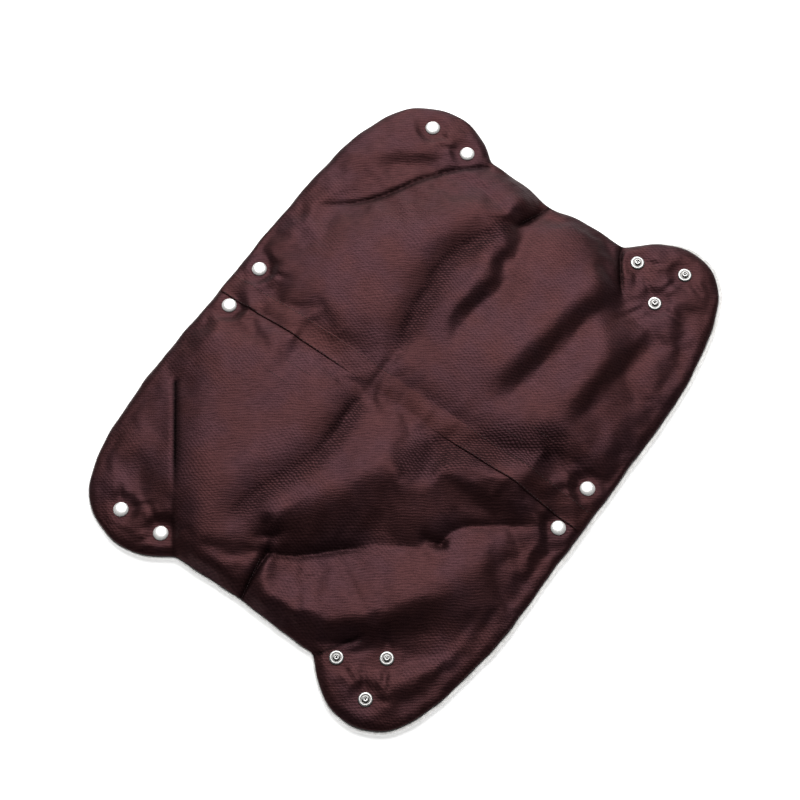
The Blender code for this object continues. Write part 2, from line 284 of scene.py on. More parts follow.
# Broad folds: points of the valley's line, depth, width of its gentle and of its steep side, height
# of the ridge past the steep side, and that side: left (+1) or right (-1)
BROAD_FOLDS = [
    # from the dart at the far short edge, into the middle
    ([(216, 3), (200, 7), (186, 10), (173, 5), (155, -2), (144, 1), (127, -8), (101, -5), (77, -2),
      (50, -10)], 7.0, 17, 7, 3.4, -1),
    # soft channels across the cap half
    ([(184, 20), (161, 24), (121, 39), (79, 36), (27, 27), (1, 20)], 4.0, 17, 12, 2.0, -1),
    ([(-20, 28), (-84, 24), (-140, 42), (-198, 56)], 3.6, 17, 11, 1.6, -1),
    # from the far stud ear's dart towards the middle
    ([(188, -96), (166, -92), (140, -85), (110, -80), (80, -76), (50, -70), (26, -66)],
     7.0, 25, 8, 3.2, -1),
    ([(172, -138), (154, -139), (127, -134), (103, -132), (72, -130), (48, -124)],
     6.4, 22, 8, 2.4, -1),
    # the large fold from the near dart to the stud edge
    ([(-178, 9), (-164, -13), (-140, -37), (-110, -74), (-92, -95), (-66, -112), (-28, -155),
      (-14, -176)], 11.0, 20, 38, 0, -1),
    # round the near stud ear
    ([(-226, -18), (-217, -44), (-211, -69), (-203, -93), (-192, -115), (-179, -136), (-149, -154),
      (-106, -163)], 8.5, 13, 10, 0.8, -1),
    # along the stud edge
    ([(205, -143), (172, -160), (112, -172)], 3.0, 10, 7, 1.8, -1),
    ([(-224, -150), (-176, -164), (-90, -170)], 3.0, 10, 7, 1.8, 1),
    # the hollows above the cap ears' creases
    ([(192, 102), (172, 130), (154, 141)], 4.4, 11, 6, 1.2, -1),
    ([(-196, 150), (-178, 142), (-196, 122)], 1.6, 11, 6, 0.6, 1),
    # the broad crushed hollow by the stud edge's end of the band
    ([(-66, -28), (-34, -49), (-6, -78), (17, -102), (40, -126), (66, -152)], 1.0, 28, 28, 0, -1),
]
# these hollows also get painted shade in the fabric's colour
CHANNELS = (1, 2, 11)  # the folds above whose hollows show the crossed weave

# Swellings: points of the crest's line, height and half width
SWELLINGS = [
    ([(-207, -12), (-200, -36), (-190, -62), (-179, -84), (-160, -104), (-124, -122), (-84, -134),
      (-40, -142)], 3.0, 22),
    ([(-150, 18), (-126, 6), (-96, -10), (-66, -30), (-36, -72), (-10, -120)], 5.0, 20),
    ([(196, 26), (150, 60), (96, 84), (40, 90)], 1.6, 30),
    ([(186, -30), (130, -34), (70, -34)], 1.4, 22),
]

# Sharp creases and stitched darts: points, depth, half width, and how dark the painted shade along
# the line is, from 0 to 1
SHARP_CREASES = [
    ([(222, 1), (198, 7.5), (183, 13), (172, 13)], 3.6, 2.6, 0.9),
    ([(-226, 4), (-207, 6), (-178, 9), (-160, 14)], 4.0, 2.6, 0.8),
    ([(221, -68), (205, -77), (186, -91), (180, -99)], 3.6, 2.2, 0.9),
    ([(-226, -70), (-205, -84), (-192, -93), (-184, -97)], 2.8, 2.2, 0.8),
    ([(-178, 9), (-164, -13), (-142, -35), (-121, -60)], 3.6, 4.4, 0.5),
    ([(-160, 10), (-168, 20), (-152, 26)], 3.4, 6.0, 0.3),
    ([(-104, 162), (-147, 128), (-176, 106), (-190, 96)], 1.6, 2.6, 1.0),
    ([(-227, 67), (-205, 86), (-182, 102)], 1.6, 2.8, 0.35),
    ([(216, 68), (200, 85), (174, 106), (136, 126), (108, 152), (92, 176)], 2.4, 2.6, 0.7),
    ([(-93, -88), (-90, -99), (-85, -106)], 3.0, 5.0, 0.2),
    ([(-90, -100), (-66, -107), (-30, -156)], 1.8, 4.0, 0.0),
]

# Small puckers that run from a snap: snap place, direction in degrees, length
PUCKERS = [
    ((215, -88), -60, 24), ((215, -88), -150, 20), ((229, -127), 165, 26),
    ((229, -127), -110, 20), ((192, -121), 55, 20), ((192, -121), 150, 34),
    ((192, -121), -95, 30), ((-215, -88), -40, 24), ((-215, -88), -110, 22),
    ((-192, -121), -150, 26), ((-192, -121), 35, 26), ((-229, -127), 40, 24),
    ((-229, -127), -60, 16), ((218, 129), -100, 16), ((215, 90), 110, 22),
    ((-218, 129), 40, 22), ((-218, 129), -45, 24), ((-215, 90), 60, 24), ((-215, 90), 150, 18),
    ((21, 169), -80, 26), ((-21, 169), -75, 40), ((21, -169), 80, 26), ((-21, -169), 95, 20),
    ((21, -169), 130, 18),
]


def pad_height(xy):
    """The smooth padded height of the shell, without its folds, in millimetres."""
    from_edge = inward(xy)
    from_long = HALF_WIDTH - np.abs(xy[:, 1])
    from_short = SHORT_EDGE_X - np.abs(xy[:, 0])
    past = beyond_crease(np.abs(xy), 1, 1)
    at_dart = np.exp(-(((xy[:, 1] - END_DART_Y) / 15) ** 2))
    pinched = at_dart * (1 - smoothstep(0, 60, from_short))
    quarter = 2 * (xy[:, 0] < 0) + (xy[:, 1] <= 0)
    ear_foot, ear_top, end_top = DOME_EDGES[quarter].T
    dome = smoothstep(4, 84, from_long) * smoothstep(-14, end_top, from_short)
    dome = dome * smoothstep(ear_foot, ear_top, -past) * (1 - 0.5 * pinched)
    return SNAP_SEAT_Z - 0.6 + (EAR_PUFF + 0.6) * smoothstep(0, 26, from_edge) + DOME * dome


def valley(xy, fold):
    """How deep in a fold each point lies, from 0 to 1, its fade, and how far past its line."""
    run, _, gentle, steep, _, steep_side = fold
    gap, share, side = near_run(xy, smooth_run(run, 6))
    signed = gap * side * steep_side
    fade = smoothstep(0, 0.12, share + 0.03) * (1 - smoothstep(0.7, 1.0, share - 0.02))
    width, power = np.where(signed > 0, steep, gentle), np.where(signed > 0, 1.6, 1.22)
    return fade * np.exp(-((gap / width) ** power)), fade, signed


def folded(xy, height):
    """The height after the broad folds' valleys and ridges, which never reach the shell's floor."""
    for run, rise, width in SWELLINGS:
        gap, _, _ = near_run(xy, smooth_run(run, 4))
        height = height + rise * np.exp(-((gap / width) ** 2)) * smoothstep(0, 22, inward(xy))
    room = np.maximum(0.5, height - floor_under(xy))
    crests = np.zeros(len(xy))
    hollows = np.zeros(len(xy))
    for fold in BROAD_FOLDS:
        _, depth, _, steep, ridge, _ = fold
        hollow, fade, signed = valley(xy, fold)
        crests += fade * ridge * np.exp(-(((signed - 2.3 * steep) / (1.6 * steep)) ** 2))
        hollows = np.maximum(hollows, depth * hollow)
    return height + crests * np.minimum(1, room / 6) - room * (1 - np.exp(-hollows / room))


def floor_under(xy):
    """The lowest that the shell may dip: the wadding's floor, or the felt behind the snaps."""
    gap = np.full(len(xy), 1e9)
    for sign_x in (1, -1):
        for sign_y, group in ((1, SNAPS_ON_CAP_EAR), (-1, [(x, -y) for x, y in SNAPS_ON_STUD_EAR])):
            ring = [(sign_x * x, sign_y * y) for x, y in [*group, group[0]]]
            gap = np.minimum(gap, near_run(xy, ring)[0])
    return SHELL_FLOOR + (SNAP_SEAT_Z - 0.2 - SHELL_FLOOR) * (1 - smoothstep(10, 16, gap))


def above(height, floor_height):
    """The height, kept softly above a floor."""
    softness = 0.6
    return floor_height + softness * np.logaddexp(0, (height - floor_height) / softness)


def crease_relief(xy):
    """Sharp creases and darts, in millimetres."""
    relief = np.zeros(len(xy))
    for run, depth, half_width, _ in SHARP_CREASES:
        gap, share, _ = near_run(xy, smooth_run(run, 6))
        fade = 1 - smoothstep(0.65, 1.0, share)
        relief -= fade * depth * np.exp(-((gap / half_width) ** 1.5))
    return relief


def painted_crease_shade(xy):
    """How dark the painted shade along the sharp creases' lines is at each point, from 0 to 1."""
    shade = np.zeros(len(xy))
    for run, _, _, dark in SHARP_CREASES:
        gap, share, _ = near_run(xy, smooth_run(run, 6))
        fade = 1 - smoothstep(0.6, 1.0, share)
        shade = np.maximum(shade, dark * fade * np.exp(-((gap / 1.9) ** 2)))
    return shade


def snap_relief(xy):
    """Dimples at the snaps and the puckers that run from them, as (share of the seat, relief)."""
    seat = np.zeros(len(xy))
    for place in SNAPS:
        gap = np.linalg.norm(xy - place, axis=1)
        seat = np.maximum(seat, 1 - smoothstep(6.4, 17, gap))
    relief = np.zeros(len(xy))
    for place, degrees, length in PUCKERS:
        turn = math.radians(degrees)
        heading = np.array((math.cos(turn), math.sin(turn)))
        place = np.array(place, float)
        run = [place + heading * 7, place + heading * (7 + length)]
        gap, share, _ = near_run(xy, run)
        fade = (1 - share) * smoothstep(0, 0.15, share + 0.05)
        relief -= 1.1 * fade * np.exp(-((gap / 2.4) ** 2))
        relief += 0.7 * fade * np.exp(-(((gap - 4.5) / 2.6) ** 2))
    return seat, relief


def rim_drop(xy, height):
    """The height after the shell rolls down to its rim."""
    t = np.clip(inward(xy) / RIM_ROLL, 0, 1)
    roll = 0.35 * t + 0.65 * np.sqrt(1 - (1 - t) ** 2)
    return RIM_Z + 0.6 * fine_noise(xy, 11, 6) * (1 - t) + (height - RIM_Z) * roll


def lattice(column, row, seed):
    """A fixed number from -1 to 1 for each lattice point."""
    mixed = np.sin(column * 127.1 + row * 311.7 + seed * 74.7) * 43758.5453
    return 2 * (mixed - np.floor(mixed)) - 1


def fine_noise(xy, scale, seed):
    """Smooth noise from -1 to 1 over the cut, with features about one scale across."""
    place = xy / scale + seed * 17.3
    cell = np.floor(place)
    t = smoothstep(0, 1, place - cell)
    corner = [lattice(cell[:, 0] + i, cell[:, 1] + j, seed) for j in (0, 1) for i in (0, 1)]
    low = corner[0] + (corner[1] - corner[0]) * t[:, 0]
    high = corner[2] + (corner[3] - corner[2]) * t[:, 0]
    return low + (high - low) * t[:, 1]


# Meshes ----------


def joined(first, count):
    """The pairs of neighbours in a closed ring of point numbers."""
    return [(first + k, first + (k + 1) % count) for k in range(count)]


def flat_mesh(outline, cell, holes=()):
    """Points and triangles that fill an outline at about one cell's spacing, with round holes."""
    rng = np.random.default_rng(7)
    rows = []
    low, high = outline.min(axis=0), outline.max(axis=0)
    for k, y in enumerate(np.arange(low[1], high[1], cell * math.sqrt(3) / 2)):
        xs = np.arange(low[0] + (k % 2) * cell / 2, high[0], cell)
        rows.append(np.column_stack([xs, np.full(len(xs), y)]))
    inner = np.vstack(rows)
    inner += rng.uniform(-0.16, 0.16, inner.shape) * cell
    inner = inner[inside(inner, outline)]
    gap, _, _ = near_run(inner, outline, closed=True)
    inner = inner[gap > cell * 0.55]
    points, edges = outline, joined(0, len(outline))
    turn = math.tau * np.arange(HOLE_SIDES) / HOLE_SIDES
    circle = np.column_stack([np.cos(turn), np.sin(turn)])
    for centre, radius in holes:
        inner = inner[np.linalg.norm(inner - centre, axis=1) > radius + 0.5 * cell]
        edges += joined(len(points), HOLE_SIDES)
        points = np.vstack([points, centre + radius * circle])
    points = np.vstack([points, inner])
    made = geometry.delaunay_2d_cdt([Vector(p) for p in points], edges, [], 1, 1e-4)
    xy = np.array([tuple(v) for v in made[0]])
    faces = np.array([tuple(f) for f in made[2]])
    centres = xy[faces].mean(axis=1)
    keep = inside(centres, outline)
    for centre, radius in holes:
        keep &= np.linalg.norm(centres - centre, axis=1) > radius * 0.98
    return xy, faces[keep]


def placed(name, data):
    """A new object in the scene that holds this data."""
    made = bpy.data.objects.new(name, data)
    bpy.context.scene.collection.objects.link(made)
    return made


def mesh_object(name, co, faces):
    """An object whose mesh has these points, which are in millimetres."""
    data = bpy.data.meshes.new(name)
    data.from_pydata((np.asarray(co) * MM).tolist(), [], faces)
    data.update()
    return placed(name, data)


def points_of(mesh):
    co = np.empty(len(mesh.vertices) * 3)
    mesh.vertices.foreach_get("co", co)
    return co.reshape(-1, 3) / MM


def evaluated(guide):
    """The points and faces of a guide object after its modifiers. The guide is removed."""
    graph = bpy.context.evaluated_depsgraph_get()
    mesh = bpy.data.meshes.new_from_object(guide.evaluated_get(graph))
    found = points_of(mesh), [tuple(p.vertices) for p in mesh.polygons]
    bpy.data.objects.remove(guide)
    bpy.data.meshes.remove(mesh)
    return found


def subdivided(co, faces, levels):
    """The points and faces after Catmull-Clark subdivision."""
    guide = mesh_object("subdivision_guide", co, faces)
    modifier = guide.modifiers.new("smooth", "SUBSURF")
    modifier.levels = modifier.render_levels = levels
    modifier.boundary_smooth = "ALL"
    return evaluated(guide)


def boundary_loops(faces):
    """The mesh's open edges as loops of point numbers, each in its faces' order."""
    seen = {(a, b) for face in faces for a, b in zip(face, face[1:] + face[:1])}
    following = {a: b for a, b in seen if (b, a) not in seen}
    loops = []
    while following:
        start = next(iter(following))
        loop = [start]
        here = following.pop(start)
        while here != start:
            loop.append(here)
            here = following.pop(here)
        loops.append(loop)
    return loops


def quads_between(rows, width, first=0, closed=False):
    """Faces between consecutive rows of points, whose ends are joined if closed."""
    steps = joined(0, width) if closed else joined(0, width)[:-1]
    return [(row + k, row + after, row + width + after, row + width + k)
            for row in range(first, first + (rows - 1) * width, width) for k, after in steps]


def with_rolled_edges(co, faces, profile):
    """The mesh with rings added along its open edges; profile(points) gives (out, up) steps."""
    co = [tuple(p) for p in co]
    faces = list(faces)
    for loop in boundary_loops(faces):
        points = np.array([co[k] for k in loop])
        normal = outward(points[:, :2])
        # smooth the directions so that the rings don't cross at the corners
        for _ in range(3):
            normal = normal + np.roll(normal, 1, axis=0) + np.roll(normal, -1, axis=0)
            normal /= np.linalg.norm(normal, axis=1, keepdims=True)
        before = loop
        for out, up in profile(points):
            ring = points.copy()
            ring[:, :2] += normal * np.reshape(out, (-1, 1))
            ring[:, 2] += up
            first = len(co)
            co.extend(map(tuple, ring))
            here = range(first, first + len(loop))
            for k, after in joined(0, len(loop)):
                faces.append((before[after], before[k], here[k], here[after]))
            before = here
    return np.array(co), faces


# Cloth ----------


CLOTH_STEPS = 26
CLOTH = {
    "quality": 6, "mass": 0.12, "tension_stiffness": 22, "compression_stiffness": 9,
    "shear_stiffness": 7, "bending_stiffness": 0.08, "tension_damping": 8,
    "compression_damping": 8, "air_damping": 3, "shrink_min": -0.02, "shrink_max": -0.02,
    "use_pressure": True, "uniform_pressure_force": 3.2, "vertex_group_mass": "held",
    "pin_stiffness": 6,
}
PUFF_LIMIT = 6.0  # the most that the simulation may move a point, in millimetres


def puffed(co, faces, held):
    """The shell after cloth simulation: wadding presses it out where it isn't held."""
    guide = mesh_object("cloth_guide", co, faces)
    group = guide.vertex_groups.new(name="held")
    for k in np.nonzero(held > 0.02)[0]:
        group.add([int(k)], float(held[k]), "REPLACE")
    cloth = guide.modifiers.new("cloth", "CLOTH")
    for setting, value in CLOTH.items():
        setattr(cloth.settings, setting, value)
    cloth.settings.effector_weights.gravity = 0
    cloth.collision_settings.use_collision = False
    cloth.point_cache.frame_start, cloth.point_cache.frame_end = 1, CLOTH_STEPS
    scene = bpy.context.scene
    for step in range(1, CLOTH_STEPS + 1):
        scene.frame_set(step)
    after, _ = evaluated(guide)
    scene.frame_set(1)
    moved = after - co
    length = np.linalg.norm(moved, axis=1, keepdims=True)
    on_ear = smoothstep(-34, 14, beyond_crease(np.abs(co[:, :2]), 1, 1))
    share = (0.82 - 0.42 * on_ear)[:, None]
    limited = share * PUFF_LIMIT * np.tanh(length / PUFF_LIMIT)
    return co + moved * (limited / np.maximum(length, 1e-9))


def held_weights(xy):
    """How firmly each point of the shell is held by seams, snaps and darts, from 0 to 1."""
    held = 1 - smoothstep(1.5, 7, inward(xy))
    for place in SNAPS:
        held = np.maximum(held, 1 - smoothstep(6.5, 9.5, np.linalg.norm(xy - place, axis=1)))
    for run, depth, _, dark in SHARP_CREASES:
        if dark < 0.5 or depth < 2.2:
            continue
        gap, share, _ = near_run(xy, run)
        held = np.maximum(held, (1 - smoothstep(0.6, 1, share)) * (1 - smoothstep(2, 6, gap)))
    for x, strength in ((-15, 0.35), (6, 0.2)):  # the band's two seams
        held = np.maximum(held, strength * (1 - smoothstep(1, 4.5, np.abs(xy[:, 0] - x))))
    return held


def shell_surface():
    """Points, in millimetres, and faces of the whole shell."""
    xy, faces = flat_mesh(resampled(OUTLINE, SHELL_CELL), SHELL_CELL)
    seat, _ = snap_relief(xy)
    height = folded(xy, pad_height(xy))
    height = height * (1 - seat) + (SNAP_SEAT_Z + 0.4) * seat
    height = SNAP_SEAT_Z - 0.6 + (height - SNAP_SEAT_Z + 0.6) * smoothstep(-6, 12, inward(xy))
    co = np.column_stack([xy, height])
    co = puffed(co, faces, held_weights(xy))
    co, faces = subdivided(co, faces, 2)
    xy = co[:, :2]
    seat, puckers = snap_relief(xy)
    detail = crease_relief(xy) + puckers
    detail += 0.4 * fine_noise(xy, 24, 1) + 0.12 * fine_noise(xy, 10, 2)
    height = above(co[:, 2] + detail, floor_under(xy)) * (1 - seat) + SNAP_SEAT_Z * seat
    co[:, 2] = rim_drop(xy, height)
    return with_rolled_edges(co, faces, shell_rim)


def shell_rim(points):
    """The shell's rim: round over and back in to the seam with the lining."""
    down = points[:, 2] - SEAM_Z
    return [(0.7, -0.30 * down - 0.3), (0.5, -0.75 * down - 0.5), (-1.6, -down - 0.6),
            (-3.5, -down - 0.7)]


def channel_depth(xy):
    """How far each point lies in the hollows that show the crossed weave and painted shade, from 0
    to 1.
    """
    return np.max([valley(xy, BROAD_FOLDS[number])[0] for number in CHANNELS], axis=0)


# Splitting at the creases ----------


def whole_normals(co, faces):
    """The normals at the whole layer's points, so that its pieces shade as one."""
    guide = mesh_object("normal_guide", co, faces)
    mesh = guide.data
    normals = np.empty(len(co) * 3)
    mesh.vertex_normals.foreach_get("vector", normals)
    bpy.data.objects.remove(guide)
    bpy.data.meshes.remove(mesh)
    return normals.reshape(-1, 3)


def zones(places):
    """The zone that each place lies in, as its number in ZONES."""
    found = np.zeros(len(places), int)
    for number, signs in enumerate(CORNERS.values(), 1):
        quarter = (places * signs > 0).all(axis=1)
        found[quarter & (beyond_crease(places, *signs) > 0)] = number
    return found


def store(mesh, name, values):
    """Keep a number or a vector at each point of a mesh, for its material to read."""
    kind, field = ("FLOAT", "value") if values.ndim == 1 else ("FLOAT_VECTOR", "vector")
    made = mesh.attributes.new(name, kind, "POINT")
    made.data.foreach_set(field, values.astype(np.float32).ravel())


def dress(piece, material):
    """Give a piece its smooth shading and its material."""
    piece.data.shade_smooth()
    piece.data.materials.append(material)


def split_pieces(layer, co, faces, slot):
    """One object for the middle and one for each ear."""
    normals = whole_normals(co, faces)
    corners = np.array(faces)
    zone = zones(co[corners][:, :, :2].mean(axis=1))
    made = {}
    for number, label in enumerate(ZONES):
        used, own = np.unique(corners[zone == number], return_inverse=True)
        own = own.reshape(-1, corners.shape[1]).tolist()
        piece = mesh_object(f"{layer}_cloth_{label}", co[used], own)
        dress(piece, finishes[slot])
        store(piece.data, "cut_place", co[used] * MM)
        if layer == "shell":
            # hollow: where the crossed weave and the painted shade of the channels go
            store(piece.data, "hollow", channel_depth(co[used][:, :2]))
            # seam: painted shade along the sharp creases' lines
            store(piece.data, "seam", painted_crease_shade(co[used][:, :2]))
        piece.data.normals_split_custom_set_from_vertices(normals[used].tolist())
        bend_piece(piece, label)
        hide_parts(*nodes_of(layer, label))
        made[label] = piece
    return made


def bend_piece(piece, label):
    """Bake a piece's transform into its mesh; it is not bent across any fold."""
    if label == "middle":
        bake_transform(piece)
        return
    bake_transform(piece)


def nodes_of(layer, label):
    """The CAD nodes that a layer's piece stands for."""
    labels = ["cap_side", "stud_side"] if label == "middle" else [label]
    return [f"{layer}_{label}" for label in labels]


# Materials ----------


class Nodes:
    """A material's or a world's node tree, with short calls for the nodes that it uses."""

    def __init__(self, name, kind="materials", shader="Principled BSDF"):
        self.owner = getattr(bpy.data, kind).new(name)
        self.owner.use_nodes = True
        self.tree = self.owner.node_tree
        self.shader = self.tree.nodes[shader]

    def put(self, node, socket, value):
        target = node.inputs[socket]
        if isinstance(value, bpy.types.NodeSocket):
            self.tree.links.new(value, target)
        else:
            target.default_value = value

    def outputs(self, kind, inputs, **settings):
        """The outputs of a new node with these settings and inputs."""
        node = self.tree.nodes.new(kind)
        for key, value in settings.items():
            setattr(node, key, value)
        for socket, value in inputs.items():
            self.put(node, socket, value)
        return node.outputs

    def maths(self, operation, a, b=0.0, clamp=False):
        return self.outputs("ShaderNodeMath", {0: a, 1: b}, operation=operation, use_clamp=clamp)[0]

    def plus(self, a, b):
        return self.maths("ADD", a, b)

    def minus(self, a, b, clamp=False):
        return self.maths("SUBTRACT", a, b, clamp)

    def times(self, a, b):
        return self.maths("MULTIPLY", a, b)

    def swing(self, value, reach):
        """A value from 0 to 1 as a swing about 0."""
        return self.times(self.minus(value, 0.5), reach)

    def wave(self, place, length):
        return self.maths("SINE", self.times(place, math.tau / length))

    def mix(self, factor, a, b):
        return self.outputs("ShaderNodeMix", {0: factor, 6: a, 7: b}, data_type="RGBA")[2]

    def ramp(self, value, low, high):
        return self.outputs("ShaderNodeMapRange", {0: value, 1: low, 2: high},
                            interpolation_type="SMOOTHSTEP")[0]

    def noise(self, vector, scale, detail=3.0, rough=0.5):
        inputs = {"Vector": vector, "Scale": scale, "Detail": detail, "Roughness": rough}
        return self.outputs("ShaderNodeTexNoise", inputs)["Fac"]

    def place(self):
        return self.outputs("ShaderNodeTexCoord", {})["Object"]

    def stored(self, attribute, output="Fac"):
        return self.outputs("ShaderNodeAttribute", {}, attribute_name=attribute)[output]

    def turned(self, vector, degrees, scale=(1, 1, 1)):
        inputs = {"Vector": vector, "Rotation": (0, 0, math.radians(degrees)), "Scale": scale}
        return self.outputs("ShaderNodeMapping", inputs)["Vector"]

    def axis(self, vector, letter):
        return self.outputs("ShaderNodeSeparateXYZ", {0: vector})[letter]

    def bump(self, height, distance, strength):
        inputs = {"Height": height, "Distance": distance, "Strength": strength}
        return self.outputs("ShaderNodeBump", inputs)["Normal"]

    def finish(self, **values):
        for key, value in values.items():
            self.put(self.shader, key.replace("_", " "), value)
        return self.owner


RIB_TURN = 54  # degrees from the cut's long edge to the ribs


def ribbed_polyester(name, tint=(1, 1, 1)):
    """Dark maroon polyester: ribs, a leaning second rib, crossing picks, clouds, a satin gloss, and
    painted shade in hollows and creases.
    """
    n = Nodes(name)
    flat = n.stored("cut_place", "Vector")
    place = n.turned(flat, RIB_TURN)
    # hollow: depth in the channels, for their crossed weave and their painted shade
    hollow = n.ramp(n.stored("hollow"), 0.35, 0.9)
    drift = n.swing(n.noise(flat, 24, 4, 0.65), 0.012)
    rib = n.wave(n.plus(n.axis(place, "Y"), drift), 0.0023)
    pick = n.wave(n.plus(n.axis(place, "X"), drift), 0.0019)
    lean = n.wave(n.plus(n.axis(n.turned(flat, 14), "X"), drift), 0.0027)
    share = n.ramp(n.noise(flat, 17, 2), 0.38, 0.62)
    streak = n.swing(n.noise(n.turned(place, 0, (110, 620, 1)), 1.0, 2), 3.2)
    weave = n.plus(n.times(rib, 0.3), n.times(pick, 0.05))
    weave = n.plus(weave, n.times(streak, 0.5))
    weave = n.plus(weave, n.times(n.times(lean, share), 0.3))
    bump = n.bump(weave, 0.00016, 0.5)
    crossed = n.times(n.plus(rib, lean), 0.45)
    weave = n.plus(weave, n.times(crossed, hollow))
    cloud = n.noise(flat, 9, 4, 0.55)
    tone = n.plus(n.times(weave, 0.36), 0.5)
    tone = n.plus(n.swing(cloud, 0.55), tone)
    tone = n.plus(n.swing(n.noise(flat, 700, 3, 0.6), 0.5), tone)
    # painted shade: the channels' hollows made darker
    tone = n.minus(tone, n.times(hollow, 0.42), clamp=True)
    warm = n.ramp(n.noise(flat, 31, 3), 0.35, 0.7)
    dark, red, rose = (
        (*(part * much for part, much in zip(shade, tint)), 1)
        for shade in ((0.0100, 0.0038, 0.0044), (0.0650, 0.0250, 0.0258), (0.0615, 0.0265, 0.0315))
    )
    colour = n.mix(tone, dark, n.mix(warm, red, rose))
    # painted shade: near-black along the sharp creases' lines, read from the stored seam attribute
    colour = n.mix(n.stored("seam"), colour, (0.0015, 0.0008, 0.0009, 1))
    rough = n.plus(n.times(cloud, 0.14), 0.42)
    return n.finish(Base_Color=colour, Roughness=rough, Normal=bump, Metallic=0.82,
                    Specular_IOR_Level=0.05)


def white_plush(name):
    """Short-pile plush: soft nubs, fine hairs and a strong sheen."""
    n = Nodes(name)
    place = n.stored("cut_place", "Vector")
    nubs = n.noise(place, 330, 3, 0.6)
    hairs = n.noise(place, 1500, 4, 0.7)
    pile = n.noise(place, 55, 2)
    tone = n.plus(n.times(nubs, 0.7), n.times(pile, 0.3))
    colour = n.mix(n.ramp(tone, 0.3, 0.68), (0.70, 0.685, 0.66, 1), (0.93, 0.925, 0.91, 1))
    height = n.plus(nubs, n.times(hairs, 0.45))
    bump = n.bump(height, 0.0009, 0.75)
    rough = n.plus(n.times(hairs, 0.1), 0.86)
    return n.finish(Base_Color=colour, Roughness=rough, Normal=bump, Sheen_Weight=0.5,
                    Sheen_Roughness=0.6, Specular_IOR_Level=0.2)


def fibrous(name, noise, dark, pale, rough, bump):
    """A matt fibre: one noise, its two colours, its roughness's spread and least, and its bump."""
    n = Nodes(name)
    fibres = n.noise(n.place(), *noise)
    spread, least = rough
    return n.finish(Base_Color=n.mix(fibres, (*dark, 1), (*pale, 1)),
                    Roughness=n.plus(n.times(fibres, spread), least), Normal=n.bump(fibres, *bump))


def nickel(name, metallic, shade, stud=False):
    """Nickel plate with a faint grain and fingermarks. A stud has painted shade in its groove and
    near-black painted shade in its hole.
    """
    n = Nodes(name)
    place = n.place()
    smudge = n.noise(place, 260, 3, 0.6)
    grain = n.noise(place, 3600, 2)
    low, high = shade * 0.86, shade
    colour = n.mix(smudge, (low, low * 0.985, low * 0.96, 1), (high, high * 0.99, high * 0.97, 1))
    if stud:
        radius = n.stored("ring")
        # painted shade: darker in the stud's groove, near-black in its hole
        hole = n.minus(1.0, n.ramp(radius, 1.35, 1.7))
        groove = n.times(n.ramp(radius, 2.35, 2.6), n.minus(1.0, n.ramp(radius, 3.5, 4.1)))
        colour = n.mix(n.times(groove, 0.8), colour, (0.09, 0.085, 0.08, 1))
        colour = n.mix(hole, colour, (0.01, 0.01, 0.01, 1))
    rough = n.plus(n.times(smudge, 0.16), 0.22)
    return n.finish(Base_Color=colour, Roughness=rough, Normal=n.bump(grain, 0.00003, 0.35),
                    Metallic=metallic)


# Lining ----------


def lining_proud(xy):
    """How far the plush stands out past the shell's rim at each outline point, in millimetres."""
    x, y = xy.T
    stud_edge = smoothstep(60, 150, -y)
    near_end = smoothstep(120, 215, -x) * smoothstep(-40, 60, 90 - np.abs(y - 20))
    wave = 0.6 * np.sin(x / 17.0) * np.sin(y / 23.0 + 1)
    return 0.2 + 2.2 * stud_edge + 1.4 * near_end + wave * stud_edge


def lining_surface():
    """Points, in millimetres, and faces of the whole lining, with a hole at each snap."""
    edge = resampled(OUTLINE, LINING_CELL)
    edge = edge + outward(edge) * (lining_proud(edge)[:, None] - 1.2)
    xy, faces = flat_mesh(edge, LINING_CELL, [(place, SNAP_HOLE) for place in SNAPS])
    co, faces = subdivided(np.column_stack([xy, np.ones(len(xy))]), faces, 1)
    faces = [tuple(reversed(f)) for f in faces]
    xy = co[:, :2]
    nubs = fine_noise(xy, 5.5, 3) + 0.5 * fine_noise(xy, 2.6, 4)
    hollow = 1.3 * smoothstep(-0.1, 0.6, fine_noise(xy, 60, 5))
    hollow = hollow * smoothstep(4, 30, inward(xy))
    co[:, 2] = 0.75 + np.clip(0.55 * nubs, -0.7, 0.9) + hollow
    return with_rolled_edges(co, faces, lining_rim)


def lining_rim(points):
    """The plush turns up round its edge, or up into the recess round a snap."""
    if len(points) < 60:
        up = 4.0 - points[:, 2]
        return [(-0.35, 0.25 * up), (-0.2, 0.7 * up), (0.1, up), (2.2, up + 0.1)]
    rise = SEAM_Z - 0.5 - points[:, 2]
    return [(0.9, 0.22 * rise), (1.35, 0.55 * rise), (0.9, 0.86 * rise), (-0.8, rise),
            (-2.5, rise + 0.1)]


# Wadding ----------


def height_lookup(co, faces):
    """A function that gives the surface's height at a place, in millimetres."""
    tree = BVHTree.FromPolygons([Vector(p) for p in co], [list(f) for f in faces])
    def look(x, y):
        hit = tree.ray_cast(Vector((x, y, 100)), Vector((0, 0, -1)))[0]
        return SNAP_SEAT_Z if hit is None else hit.z
    return look


def lowest_near(look, x, y):
    """The shell's lowest height within about 8 mm of a place."""
    around = [(x + reach * math.cos(math.tau * k / 8), y + reach * math.sin(math.tau * k / 8))
              for reach in (4, 8) for k in range(8)]
    return min(look(*place) for place in [(x, y), *around])


